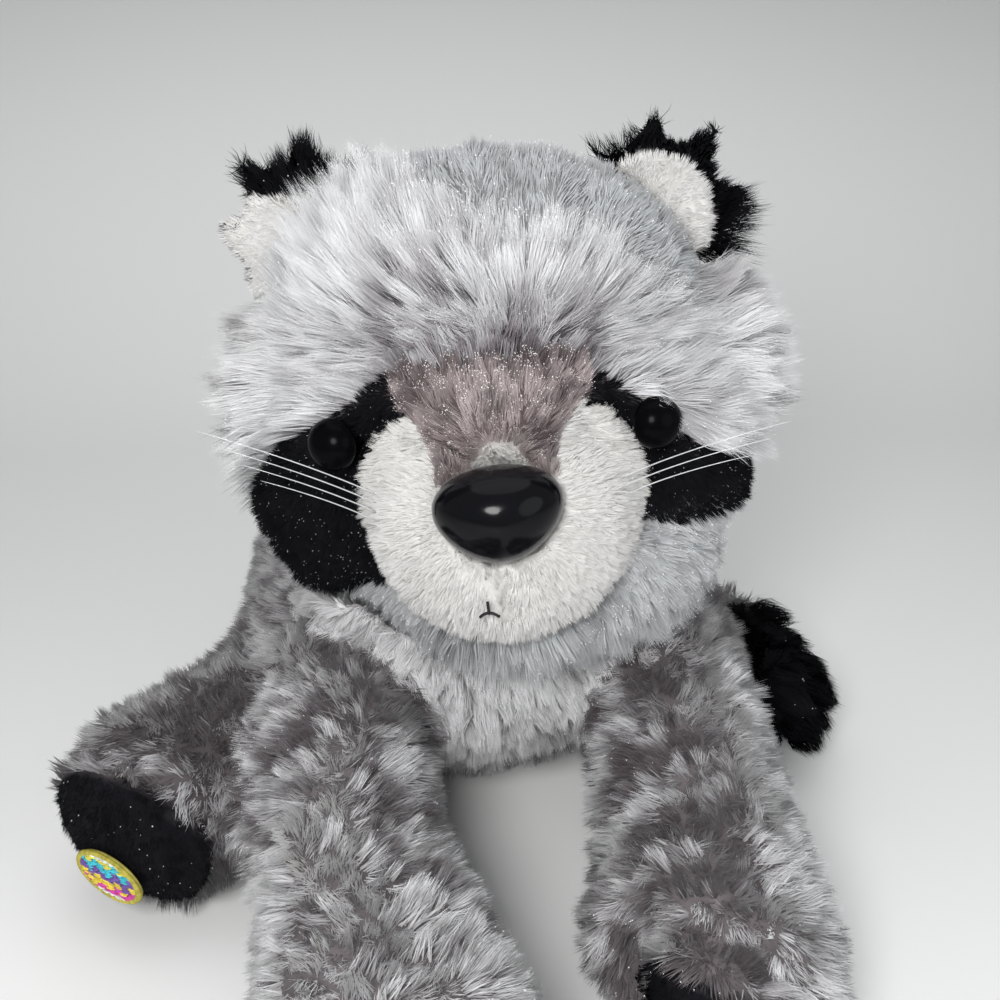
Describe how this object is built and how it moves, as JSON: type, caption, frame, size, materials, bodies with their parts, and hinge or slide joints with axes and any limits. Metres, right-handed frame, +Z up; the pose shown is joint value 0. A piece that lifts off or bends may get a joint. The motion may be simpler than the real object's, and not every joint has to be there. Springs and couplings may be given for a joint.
{
  "type": "plush raccoon",
  "caption": "Soft plush raccoon lying on its belly, head raised, front legs stretched out, with a black mask, shaggy crown, clear whiskers and a banded tail",
  "frame": {"origin": "on the floor, on the flat of the belly at the body's middle plane", "axes": "+Z up, the nose points along -Y, +X to the animal's own left, which is the viewer's right from the front"},
  "size_m": [0.1634, 0.2182, 0.136],
  "materials": {
    "mottled_pile": "mottled grey and brown plush pile with pale tips",
    "grey_pile": "grey plush pile",
    "pale_shag": "long pale shag with shiny tips",
    "white_pile": "short dense white pile",
    "taupe_pile": "short brown pile with glints",
    "black_pile": "short black pile with small glints",
    "black_moulding": "polished black moulded plastic",
    "washer_plastic": "plain natural plastic, inside the head",
    "black_thread": "black sewing thread",
    "clear_filament": "clear nylon filament",
    "patch_thread": "embroidered patch with a yellow border and plain coloured dots"
  },
  "bodies": {
    "root": {"body": "mottled_pile", "chest": "mottled_pile", "head": "grey_pile", "crown_ruff": "pale_shag", "cheek_ruff_right": "pale_shag", "cheek_ruff_left": "pale_shag", "mask_right": "black_pile", "mask_left": "black_pile", "muzzle": "white_pile", "nose_bridge": "taupe_pile", "chin": "grey_pile", "nose": "black_moulding", "nose_washer": "washer_plastic", "eye_right": "black_moulding", "eye_left": "black_moulding", "eye_washer_right": "washer_plastic", "eye_washer_left": "washer_plastic", "ear_right": "black_pile", "ear_left": "black_pile", "ear_lining_right": "white_pile", "ear_lining_left": "white_pile", "mouth_stitch": "black_thread", "whisker_right_1": "clear_filament", "whisker_right_2": "clear_filament", "whisker_right_3": "clear_filament", "whisker_right_4": "clear_filament", "whisker_left_1": "clear_filament", "whisker_left_2": "clear_filament", "whisker_left_3": "clear_filament", "front_leg_right": "mottled_pile", "front_leg_left": "mottled_pile", "hind_leg_right": "mottled_pile", "hind_leg_left": "mottled_pile", "front_pad_right": "black_pile", "front_pad_left": "black_pile", "hind_pad_right": "black_pile", "hind_pad_left": "black_pile", "foot_patch": "patch_thread", "tail_band_1": "grey_pile", "tail_band_2": "black_pile", "tail_band_3": "grey_pile", "tail_band_4": "black_pile", "tail_band_5": "grey_pile", "tail_band_6": "black_pile"}
  },
  "joints": []
}
